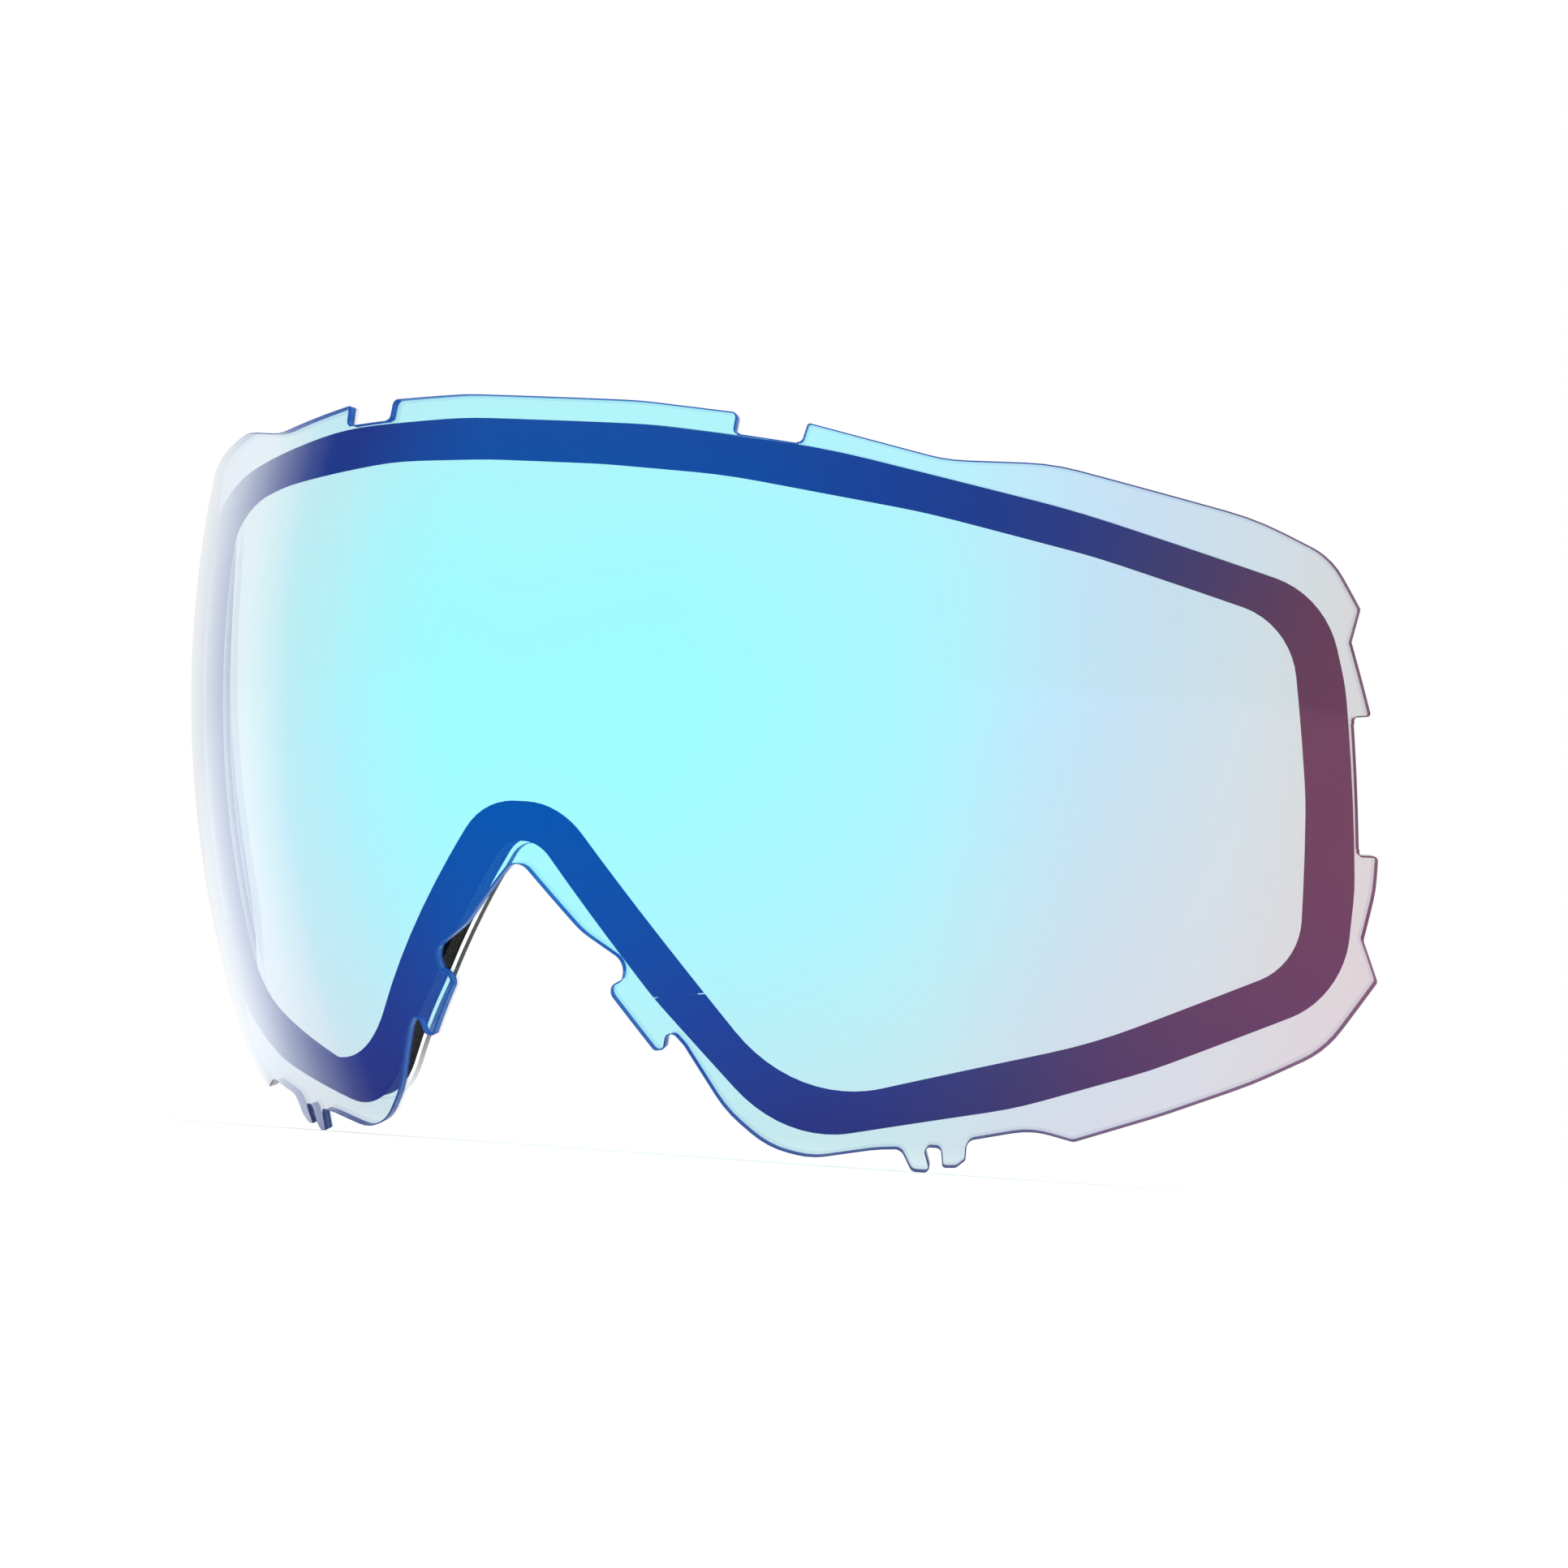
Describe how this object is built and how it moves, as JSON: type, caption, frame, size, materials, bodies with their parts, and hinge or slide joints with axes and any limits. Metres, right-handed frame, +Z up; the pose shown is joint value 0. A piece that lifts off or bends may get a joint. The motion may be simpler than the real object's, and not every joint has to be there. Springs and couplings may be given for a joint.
{
  "type": "ski goggle lens",
  "caption": "Upright curved dual-pane goggle lens with a mirror-coated flanged outer pane, a foam gasket ring, a clear inner pane, a nose arch and locating notches, tabs and forks.",
  "frame": {"origin": "middle of the bottom of the box that holds the lens unit, standing upright as it is worn", "axes": "+X along the lens to the right as seen from the front, +Y from the coated front to the face side, +Z up"},
  "size_m": [0.1786, 0.0606, 0.0904],
  "materials": {
    "coated_pane": "moulded polycarbonate, clear blue-green tint with an interference mirror coating that goes from deep blue at the middle to purple at the temples",
    "clear_pane": "clear polished cellulose sheet with an anti-fog inner face",
    "gasket_foam": "black closed-cell foam, matte with a fine cell speckle on its cut sides",
    "adhesive_film": "thin black pressure-sensitive film",
    "breather_membrane": "white porous membrane"
  },
  "bodies": {
    "root": {"outer_lens": "coated_pane", "gasket_front_adhesive": "adhesive_film", "foam_gasket": "gasket_foam", "gasket_rear_adhesive": "adhesive_film", "inner_lens": "clear_pane", "breather_adhesive": "adhesive_film", "breather_filter": "breather_membrane"}
  },
  "joints": []
}
